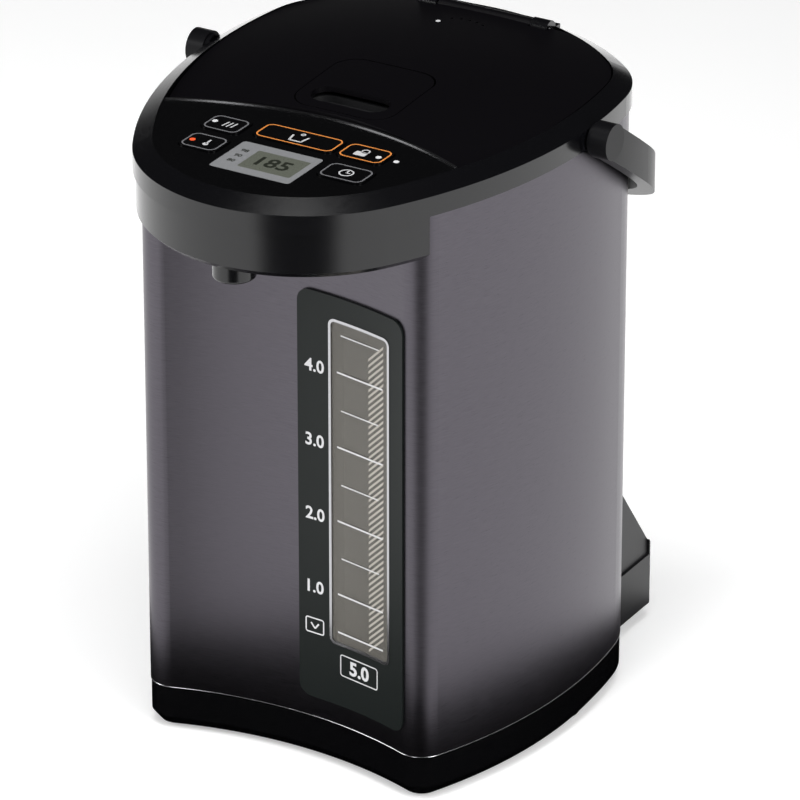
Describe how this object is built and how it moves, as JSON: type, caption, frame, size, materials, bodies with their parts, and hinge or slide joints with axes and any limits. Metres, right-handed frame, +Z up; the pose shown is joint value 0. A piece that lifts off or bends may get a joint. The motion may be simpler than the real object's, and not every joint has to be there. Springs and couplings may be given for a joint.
{
  "type": "electric thermo pot",
  "caption": "Electric hot water pot with a hollow-fronted brushed metal body, beak spout with pump, control panel, water gauge, hinged lid and swinging bail handle.",
  "frame": {"origin": "on the standing plane under the pump axis, in the middle of the width", "axes": "+Z up, -Y to the front where the spout is, +X to the viewer's right"},
  "size_m": [0.247, 0.3, 0.349],
  "materials": {
    "brushed_sleeve": "fine horizontal brushing, dark grey tint",
    "stainless": "satin stainless sheet",
    "gloss_black": "gloss black",
    "charcoal": "semi-gloss charcoal",
    "satin_black": "fine texture, satin black",
    "trim_light": "polished trim",
    "clear_pane": "clear",
    "display_grey": "satin grey",
    "board_green": "circuit board",
    "rubber_grey": "satin silicone",
    "rubber_black": "matt rubber",
    "clear_tube": "clear tube",
    "white_plastic": "natural white",
    "felt": "grey felt",
    "steel": "plated steel",
    "brass": "bare brass",
    "copper_wire": "insulated wire",
    "heater_alloy": "cast",
    "panel_grey": "printed dark grey",
    "scale_beige": "printed grey beige"
  },
  "bodies": {
    "pot": {"outer_sleeve": "brushed_sleeve", "base_shell": "gloss_black", "bottom_plate": "satin_black", "bottom_screws": "steel", "feet": "rubber_black", "top_ring": "charcoal", "handle_pins": "steel", "hinge_pin": "steel", "beak_housing": "charcoal", "control_panel": "gloss_black", "panel_trim": "trim_light", "display_window": "display_grey", "lcd_module": "display_grey", "control_board": "board_green", "gauge_panel": "panel_grey", "gauge_rim": "trim_light", "gauge_window": "clear_pane", "gauge_back": "scale_beige", "sight_tube": "clear_tube", "riser_hose": "rubber_grey", "valve_body": "white_plastic", "spout_elbow": "rubber_grey", "nozzle": "charcoal", "pump_hose": "rubber_grey", "pump_body": "white_plastic", "pump_cover": "white_plastic", "motor_can": "steel", "inner_vessel": "stainless", "vessel_seal": "rubber_grey", "insulation_jacket": "felt", "throat_deck": "satin_black", "tie_rods": "steel", "vessel_cradle": "stainless", "heater": "heater_alloy", "thermal_sensors": "brass", "power_board": "board_green", "wire_loom": "copper_wire", "inlet_housing": "satin_black", "inlet_pins": "brass", "latch_housing": "satin_black", "latch_spring": "steel"},
    "lid": {"lid_cover": "satin_black", "lid_base": "satin_black", "lid_screws": "steel", "inner_lid": "stainless", "lid_gasket": "rubber_grey", "steam_vent": "white_plastic", "latch_pin": "steel"},
    "flap": {"latch_flap": "satin_black"},
    "bolt": {"latch_bolt": "white_plastic"},
    "bail": {"handle": "charcoal"},
    "dispense_key": {"key_dispense": "gloss_black"},
    "unlock_key": {"key_unlock": "gloss_black"},
    "timer_key": {"key_timer": "gloss_black"},
    "reboil_key": {"key_reboil": "gloss_black"},
    "temp_key": {"key_temp": "gloss_black"},
    "rotor": {"motor_rotor": "steel"},
    "pump_wheel": {"impeller": "white_plastic"},
    "ball": {"valve_ball": "rubber_grey"}
  },
  "joints": [
    {"name": "lid_hinge", "type": "hinge", "parent": "pot", "child": "lid", "pos_m": [0, 0.1235, 0.3435], "axis": [-1, 0, 0], "range_deg": [0, 95]},
    {"name": "latch_lift", "type": "hinge", "parent": "lid", "child": "flap", "pos_m": [0, 0.025, 0.343], "axis": [-1, 0, 0], "range_deg": [0, 8], "stiffness_Nm_per_rad": 0.3, "springref_deg": -11.46},
    {"name": "latch_slide", "type": "slide", "parent": "pot", "child": "bolt", "axis": [0, -1, 0], "range_m": [0, 0.003], "deforming": ["latch_spring"]},
    {"name": "handle_swing", "type": "hinge", "parent": "pot", "child": "bail", "pos_m": [0, 0.037, 0.332], "axis": [1, 0, 0], "range_deg": [0, 120]},
    {"name": "dispense_press", "type": "slide", "parent": "pot", "child": "dispense_key", "axis": [0, 0, -1], "range_m": [0, 0.0006], "stiffness_N_per_m": 400, "springref_m": -0.002},
    {"name": "unlock_press", "type": "slide", "parent": "pot", "child": "unlock_key", "axis": [0, 0, -1], "range_m": [0, 0.0006], "stiffness_N_per_m": 400, "springref_m": -0.002},
    {"name": "timer_press", "type": "slide", "parent": "pot", "child": "timer_key", "axis": [0, 0, -1], "range_m": [0, 0.0006], "stiffness_N_per_m": 400, "springref_m": -0.002},
    {"name": "reboil_press", "type": "slide", "parent": "pot", "child": "reboil_key", "axis": [0, 0, -1], "range_m": [0, 0.0006], "stiffness_N_per_m": 400, "springref_m": -0.002},
    {"name": "temp_press", "type": "slide", "parent": "pot", "child": "temp_key", "axis": [0, 0, -1], "range_m": [0, 0.0006], "stiffness_N_per_m": 400, "springref_m": -0.002},
    {"name": "rotor_spin", "type": "hinge", "parent": "pot", "child": "rotor", "pos_m": [0, 0, 0.021], "axis": [0, 0, 1], "continuous": true},
    {"name": "impeller_spin", "type": "hinge", "parent": "pot", "child": "pump_wheel", "pos_m": [0, 0, 0.042], "axis": [0, 0, 1], "continuous": true},
    {"name": "ball_slide", "type": "slide", "parent": "pot", "child": "ball", "axis": [0, -1, 0], "range_m": [0, 0.008]}
  ],
  "couplings": [
    {"joint": "latch_slide", "follows": "latch_lift", "m_per_rad": 0.0214},
    {"joint": "impeller_spin", "follows": "rotor_spin", "ratio": 1}
  ]
}
